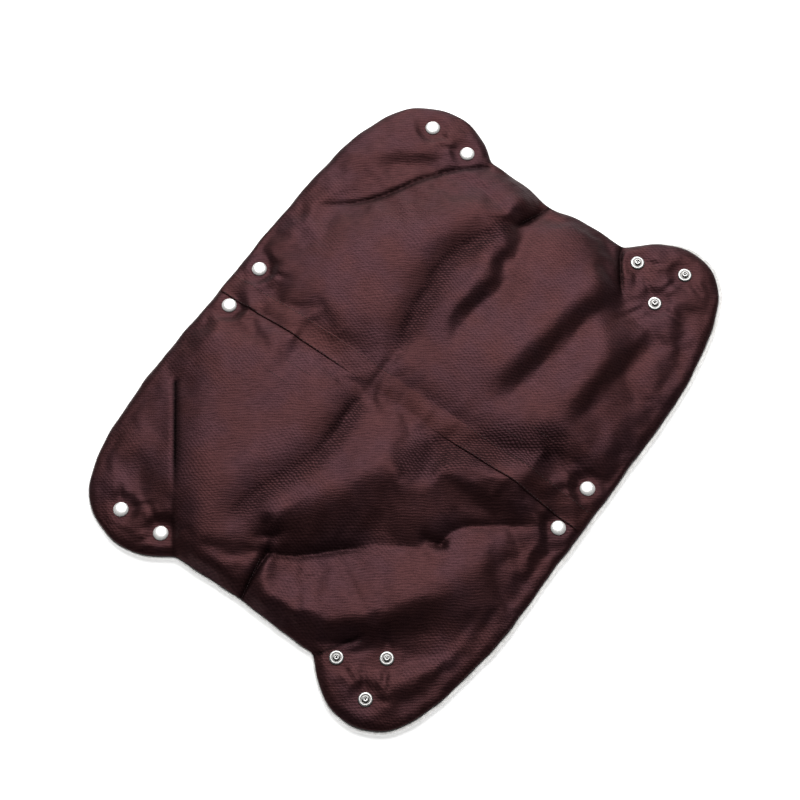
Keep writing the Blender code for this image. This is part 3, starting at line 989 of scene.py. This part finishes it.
def wadding_pieces(look):
    """A flat-bottomed pad under the shell for the middle and for each ear."""
    edge = resampled(OUTLINE, WADDING_CELL)
    xy, faces = flat_mesh(edge - outward(edge) * WADDING_INSET, WADDING_CELL)
    zone = zones(xy[faces].mean(axis=1))
    for number, label in enumerate(ZONES):
        used, own = np.unique(faces[zone == number], return_inverse=True)
        own = [tuple(face) for face in own.reshape(-1, 3).tolist()]
        flat, count = xy[used], len(used)
        lowest = np.array([lowest_near(look, x, y) for x, y in flat])
        near_snap = np.min(np.linalg.norm(flat[:, None] - SNAPS[None], axis=2), axis=1)
        top = np.maximum(WADDING_FLOOR + 0.2, lowest - 1.6 - 1.2 * (near_snap < 16))
        bottom = np.full(count, WADDING_FLOOR)
        sheet = own + [tuple(k + count for k in reversed(f)) for f in own]
        for loop in boundary_loops(own):
            sheet += [(b, a, a + count, b + count) for a, b in zip(loop, loop[1:] + loop[:1])]
        co = np.column_stack([np.vstack([flat, flat]), np.concatenate([top, bottom])])
        piece = mesh_object(f"wadding_{label}_pad", co, sheet)
        dress(piece, finishes["wadding"])
        bend_piece(piece, label)
        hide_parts(*nodes_of("wadding", label))


# Band and stitching ----------

BAND_LEFT, BAND_RIGHT = -14.3, 5.7
BAND_END = 184.2
# The stretch where the band is nearly flush with the shell: its middle, half length and rise
FLUSH_MIDDLE, FLUSH_REACH, FLUSH_RISE = 3, 58, 0.36
# Across the band: millimetres from its left edge, and height above the shell
BAND_SECTION = [
    (0.0, -0.5), (0.05, 0.5), (0.35, 0.95), (1.0, 1.1), (2.0, 1.0), (4.5, 0.85), (9.0, 0.8),
    (14.0, 0.75), (17.6, 0.75), (19.0, 0.8), (19.7, 0.65), (19.95, 0.3), (20.0, -0.5),
]


def band_waver(y):
    """How far the band strays sideways at a place along it, in millimetres."""
    return 0.35 * math.sin(y / 31.0)


def band(look):
    """The lapped strip across the middle, lying on the shell."""
    rows = np.arange(-BAND_END, BAND_END + 0.1, 1.6)
    co = []
    for y in rows:
        for step, lift in BAND_SECTION:
            x = BAND_LEFT + step + band_waver(y)
            flush = math.exp(-(((y - FLUSH_MIDDLE) / FLUSH_REACH) ** 6))
            sunk = FLUSH_RISE * min(1, step / 9, (20 - step) / 7) - 0.08
            lift += flush * (sunk - lift)
            co.append((x, y, look(x, y) + lift))
    piece = mesh_object("centre_band", co, quads_between(len(rows), len(BAND_SECTION)))
    dress(piece, finishes["band_fabric"])
    co = np.array(co)
    store(piece.data, "cut_place", co * MM)
    # hollow: the channels' crossed weave and painted shade on the band too
    store(piece.data, "hollow", channel_depth(co[:, :2]))
    bend_piece(piece, "middle")
    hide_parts("centre_band_cap_side", "centre_band_stud_side")
    return piece


# A stitch's rings: share of its length, share of its width, and rise in millimetres
STITCH_SECTION = [(-0.5, 0.15, -0.28), (-0.38, 0.8, 0.0), (0.0, 1.0, 0.12), (0.38, 0.8, 0.0),
                  (0.5, 0.15, -0.28)]
STITCH_SIDES = 6
STITCH_LIFT = 0.1


def stitches(name, run, look, label, length, gap, radius):
    """A row of stitches along a line on the shell, each a small capsule that dips at its ends."""
    run = np.asarray(run, float)
    size = travelled(run)
    co, faces = [], []
    for start in np.arange(gap, size[-1] - length, length + gap):
        middle = start + length / 2
        heading = places_at(run, size, middle + 0.3) - places_at(run, size, middle - 0.3)
        heading /= np.linalg.norm(heading)
        across = np.array((-heading[1], heading[0]))
        first = len(co)
        for share, width, dip in STITCH_SECTION:
            x, y = places_at(run, size, middle) + heading * share * length
            level = look(x, y) + STITCH_LIFT + dip
            for k in range(STITCH_SIDES):
                turn = math.tau * k / STITCH_SIDES
                out = across * math.cos(turn) * radius * width
                co.append((x + out[0], y + out[1], level + math.sin(turn) * radius * width))
        faces += quads_between(len(STITCH_SECTION), STITCH_SIDES, first, closed=True)
        faces.append(tuple(first + k for k in reversed(range(STITCH_SIDES))))
        faces.append(tuple(range(len(co) - STITCH_SIDES, len(co))))
    piece = mesh_object(name, co, faces)
    dress(piece, finishes["thread"])
    bend_piece(piece, label)


def all_stitching(look, band_look):
    left, right = BAND_LEFT + 1.1, BAND_RIGHT - 1.4
    for end, x, low, high in (
        ("cap_left", left, 58, 182), ("cap_right", right, 16, 182),
        ("stud_left", left, -182, -62), ("stud_right", right, -182, -58),
    ):
        run = [(x + band_waver(y), y) for y in np.arange(low, high + 0.1, 4)]
        stitches(f"band_stitching_{end}", run, band_look, "middle", 2.5, 0.9, 0.2)
    for name, run in (
        ("cap_tack_1", [(-53, 107), (-53, 79)]), ("cap_tack_2", [(-36, 98), (-36, 71)]),
        ("stud_tack_1", [(20, -71), (20, -108)]), ("stud_tack_2", [(35, -102), (35, -126)]),
    ):
        stitches(name, run, look, "middle", 1.9, 0.5, 0.16)
    for end, run, label in (
        ("far", [(219, 4), (206, 6.5), (186, 13.5)], "middle"),
        ("near", [(-222, 3.5), (-207, 6), (-184, 10.5)], "middle"),
        ("right", [(217, -72), (190, -89.5), (182, -97)], "stud_ear_right"),
        ("left", [(-221, -74), (-210, -85.5), (-192, -97)], "stud_ear_left"),
    ):
        stitches(f"dart_stitching_{end}", run, look, label, 1.7, 0.6, 0.15)


# Press snaps ----------

GAP = 0.3
SEAT = SNAP_SEAT_Z + GAP
RECESS_TOP = 4.2
TURN_STEPS = 48

# Turned profiles: radius, and height above the part's own seat, in millimetres
CAP_PROFILE = [
    (0, 1.9), (1.6, 1.88), (3.1, 1.78), (4.3, 1.58), (5.2, 1.26), (5.8, 0.88), (6.15, 0.5),
    (6.25, 0.28), (6.2, 0.1), (6.05, 0),
]
STUD_PROFILE = [
    (1.45, 1.2), (1.5, 2.6), (1.65, 2.92), (1.95, 3.0), (2.25, 2.9), (2.42, 2.6), (2.46, 2.2),
    (2.3, 1.5), (2.35, 0.95), (2.6, 0.72), (3.4, 0.62), (3.75, 0.66), (3.95, 0.9), (4.3, 1.0),
    (5.2, 0.92), (5.7, 0.72), (5.95, 0.42), (6.0, 0.15), (5.9, 0), (1.7, 0), (1.45, 0.2),
]
SOCKET_PROFILE = [
    (2.1, 3.3), (5.1, 3.3), (5.5, 3.1), (5.6, 2.8), (5.6, 0.7), (5.5, 0.3), (5.2, 0.06),
    (4.8, 0), (3.1, 0), (2.8, 0.1), (2.7, 0.35), (2.7, 0.9), (3.6, 0.95), (3.65, 1.2),
    (3.6, 2.7), (2.1, 2.7),
]


def turned(node, profile, place, seat, metal, body, closed=True, down=False):
    """A turned piece at a place in millimetres, which stands for one CAD node."""
    co, faces, rings = [], [], []
    sign = -1 if down else 1
    for radius, level in profile:
        turns = TURN_STEPS if radius > 0 else 1
        rings.append(range(len(co), len(co) + turns))
        for turn in (math.tau * k / TURN_STEPS for k in range(turns)):
            co.append((place[0] + radius * math.cos(turn), place[1] + radius * math.sin(turn),
                       seat + sign * level))
    following = rings[1:] + rings[:1] if closed else rings[1:]
    for upper, lower in zip(rings, following):
        for k, after in joined(0, TURN_STEPS):
            # a ring on the axis is one point, so its quads become triangles
            quad = [upper[k % len(upper)], lower[k % len(lower)], lower[after % len(lower)],
                    upper[after % len(upper)]]
            face = tuple(dict.fromkeys(quad))
            if len(face) > 2:
                faces.append(face)
    piece = mesh_object(f"{node}_fine", co, faces)
    bm = bmesh.new()
    bm.from_mesh(piece.data)
    bmesh.ops.recalc_face_normals(bm, faces=bm.faces[:])
    bm.to_mesh(piece.data)
    bm.free()
    dress(piece, finishes[metal])
    piece.data.set_sharp_from_angle(angle=math.radians(38))
    store(piece.data, "ring", np.hypot(*(points_of(piece.data)[:, :2] - place).T))
    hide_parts(node)
    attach(piece, body)


def spring_ring(node, place, body):
    """The split wire in a socket's groove, open at one side."""
    data = bpy.data.curves.new(f"{node}_fine", "CURVE")
    data.dimensions = "3D"
    data.bevel_depth = 0.27 * MM
    data.bevel_resolution = 3
    data.use_fill_caps = True
    spline = data.splines.new("POLY")
    count = 40
    spline.points.add(count - 1)
    opening = math.radians(50)
    for k, point in enumerate(spline.points):
        turn = opening / 2 + (math.tau - opening) * k / (count - 1)
        point.co = (2.95 * MM * math.cos(turn), 2.95 * MM * math.sin(turn), 0, 1)
    data.materials.append(finishes["spring_wire"])
    piece = placed(f"{node}_fine", data)
    piece.location = [value * MM for value in (*place, GAP + 1.6)]
    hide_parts(node)
    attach(piece, body)


def cap_with_post(post_radius, post_end, clinched):
    """A cap's profile with its post, which spreads under a socket's roof if it is clinched."""
    end = post_end - SEAT
    if not clinched:
        return [*CAP_PROFILE, (post_radius, 0), (post_radius, end), (0, end)]
    roof = 2.7 - SEAT
    flare = post_radius + 0.6
    return [*CAP_PROFILE, (post_radius, 0), (post_radius, roof), (flare, roof - 0.1),
            (flare, end + 0.2), (flare - 0.25, end), (0, end)]


def socket_snap(prefix, place, body):
    """A domed cap over the shell, clinched through a ring socket on the lining."""
    cap = cap_with_post(1.8, GAP + 2, True)
    turned(f"{prefix}_cap", cap, place, SEAT, "cap_metal", body, closed=False)
    turned(f"{prefix}_socket", SOCKET_PROFILE, place, GAP, "snap_metal", body)
    spring_ring(f"{prefix}_spring", place, body)


def stud_snap(prefix, place, body):
    """A stud on the shell, riveted by an eyelet from the lining."""
    turned(f"{prefix}_stud", STUD_PROFILE, place, SEAT, "stud_metal", body)
    seat = RECESS_TOP - GAP - 0.8
    top = SEAT + 3.0 - GAP - seat - 0.9
    eyelet = [
        (0.85, top - 0.2), (0.95, top), (1.15, top), (1.2, top - 0.3), (1.2, 1.0), (1.5, 0.82),
        (4.6, 0.8), (4.95, 0.6), (5.0, 0.3), (4.85, 0.05), (4.5, 0), (1.6, 0), (1.1, 0.15),
        (0.85, 0.5),
    ]
    turned(f"{prefix}_eyelet", eyelet, place, seat, "snap_metal", body)


def inward_stud_snap(prefix, place, body):
    """A domed cap over the shell with a stud under it, on the lining."""
    cap = cap_with_post(1.15, RECESS_TOP - 3.0, False)
    turned(f"{prefix}_cap", cap, place, SEAT, "cap_metal", body, closed=False)
    turned(f"{prefix}_stud", STUD_PROFILE, place, RECESS_TOP - GAP, "stud_metal", body, down=True)


def all_snaps():
    for number, sign in enumerate((1, -1), 1):
        x, y = SNAP_ON_SIDE
        socket_snap(f"cap_side_snap_{number}", (sign * x, y), "cap_side")
        inward_stud_snap(f"stud_side_snap_{number}", (sign * x, -y), "stud_side")
    for end, sign in (("right", 1), ("left", -1)):
        for number, (x, y) in enumerate(SNAPS_ON_CAP_EAR, 1):
            socket_snap(f"cap_ear_{end}_snap_{number}", (sign * x, y), f"cap_ear_{end}")
        for number, (x, y) in enumerate(SNAPS_ON_STUD_EAR, 1):
            stud_snap(f"stud_ear_{end}_snap_{number}", (sign * x, y), f"stud_ear_{end}")


# Assembly ----------

finishes = {
    "shell_fabric": ribbed_polyester("shell_fabric"),
    "band_fabric": ribbed_polyester("band_fabric", tint=(1.03, 1.0, 0.95)),
    "wadding": fibrous("wadding", (420, 5, 0.7), (0.72, 0.72, 0.70), (0.92, 0.92, 0.91),
                       (0.1, 0.88), (0.0012, 0.8)),
    "lining_plush": white_plush("lining_plush"),
    "interfacing": fibrous("interfacing", (900, 5, 0.75), (0.66, 0.66, 0.63), (0.86, 0.86, 0.84),
                           (0.1, 0.85), (0.0004, 0.7)),
    "cap_metal": nickel("cap_metal", 0.4, 0.86),
    "stud_metal": nickel("stud_metal", 0.9, 0.36, stud=True),
    "snap_metal": nickel("snap_metal", 0.9, 0.8),
    "spring_wire": nickel("spring_wire", 1.0, 0.6),
    "thread": fibrous("thread", (2600, 2), (0.012, 0.005, 0.006), (0.05, 0.02, 0.022), (0.2, 0.55),
                      (0.0001, 0.6)),
}


def declare_sheets(group, resting_on):
    """Measure the box round each piece's part of the cut and look up what it rests on; neither is
    kept.
    """
    for label, piece in group.items():
        width, length, _ = (np.ptp(points_of(piece.data), axis=0) * MM).tolist()
        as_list(resting_on(label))


shell_co, shell_faces = shell_surface()
shell = split_pieces("shell", shell_co, shell_faces, "shell_fabric")
look_down = height_lookup(shell_co, shell_faces)
lining = split_pieces("lining", *lining_surface(), "lining_plush")
wadding_pieces(look_down)
declare_sheets(shell, lambda label: [f"wadding_{label}_pad"])
declare_sheets(lining, lambda label: ["floor"])
band_mesh = band(look_down).data
band_look = height_lookup(points_of(band_mesh), [p.vertices for p in band_mesh.polygons])
all_stitching(look_down, band_look)
all_snaps()
for node, obj in frame["nodes"].items():
    if node.startswith("snap_patch_"):
        for material_slot in obj.material_slots:
            material_slot.material = finishes["interfacing"]

# Floor, light and camera ----------

# How far the floor reaches in under the muff's rim and how far out, and how far below it the second
# floor lies, in millimetres
FLOOR_LAP = 14
FLOOR_REACH = 28000
FLOOR_DROP = 320


def floor():
    """A pale floor, open under the muff, so that folded parts hang in sight of a second one."""
    length = np.linalg.norm(OUTLINE, axis=1, keepdims=True)
    rim = OUTLINE * (1 - FLOOR_LAP / length)
    far = OUTLINE / length * FLOOR_REACH
    count = len(rim)
    ring = [(*point, 0) for point in (*rim, *far)]
    quads = [(k, k + count, after + count, after) for k, after in joined(0, count)]
    below = [(x, y, -FLOOR_DROP) for x, y in ((-600, -600), (600, -600), (600, 600), (-600, 600))]
    for name, co, faces, glow in (("floor", ring, quads, 0.42),
                                  ("floor_below", below, [(0, 1, 2, 3)], 0.95)):
        made = mesh_object(name, co, faces)
        n = Nodes(name)
        away = n.outputs("ShaderNodeVectorMath", {0: n.place()}, operation="LENGTH")["Value"]
        seen = n.outputs("ShaderNodeLightPath", {})["Is Camera Ray"]
        far_off = n.times(n.ramp(away, 0.9, 4.0), seen)
        made.data.materials.append(n.finish(
            Base_Color=(0.93, 0.93, 0.93, 1), Roughness=0.9, Emission_Color=(1, 1, 1, 1),
            Emission_Strength=n.plus(n.times(far_off, 0.6), glow)))


def aimed(name, data, location, target=(0, 0, 0)):
    """A light or a camera at a place in metres, turned to look at a target."""
    made = placed(name, data)
    made.location = location
    made.rotation_euler = (Vector(target) - made.location).to_track_quat("-Z", "Y").to_euler()
    return made


def light(name, location, size, power):
    """A round lamp that faces the muff: place and size in metres, power in watts."""
    data = bpy.data.lights.new(name, "AREA")
    data.shape = "DISK"
    data.size = size
    data.energy = power
    aimed(name, data, location)


def world():
    """A dim fill light all round, behind which the camera sees a pale backdrop."""
    n = Nodes("studio", "worlds", "Background")
    seen = n.outputs("ShaderNodeLightPath", {})["Is Camera Ray"]
    levels = {"Value": seen, "To Min": 0.14, "To Max": 1.0}
    strength = n.outputs("ShaderNodeMapRange", levels)["Result"]
    bpy.context.scene.world = n.finish(Color=(1, 1, 1, 1), Strength=strength)


def camera():
    data = bpy.data.cameras.new("camera")
    data.lens = 107.55
    made = aimed("camera", data, (-0.612, -0.4395, 1.851), (-0.0047, 0.0023, 0.006))
    bpy.context.scene.camera = made


floor()
world()
light("key", (1.07, 0.86, 2.10), 2.4, 80)
light("far_edge", (2.25, 1.64, 1.0), 1.5, 30)
camera()
bpy.context.scene.view_settings.view_transform = "Standard"
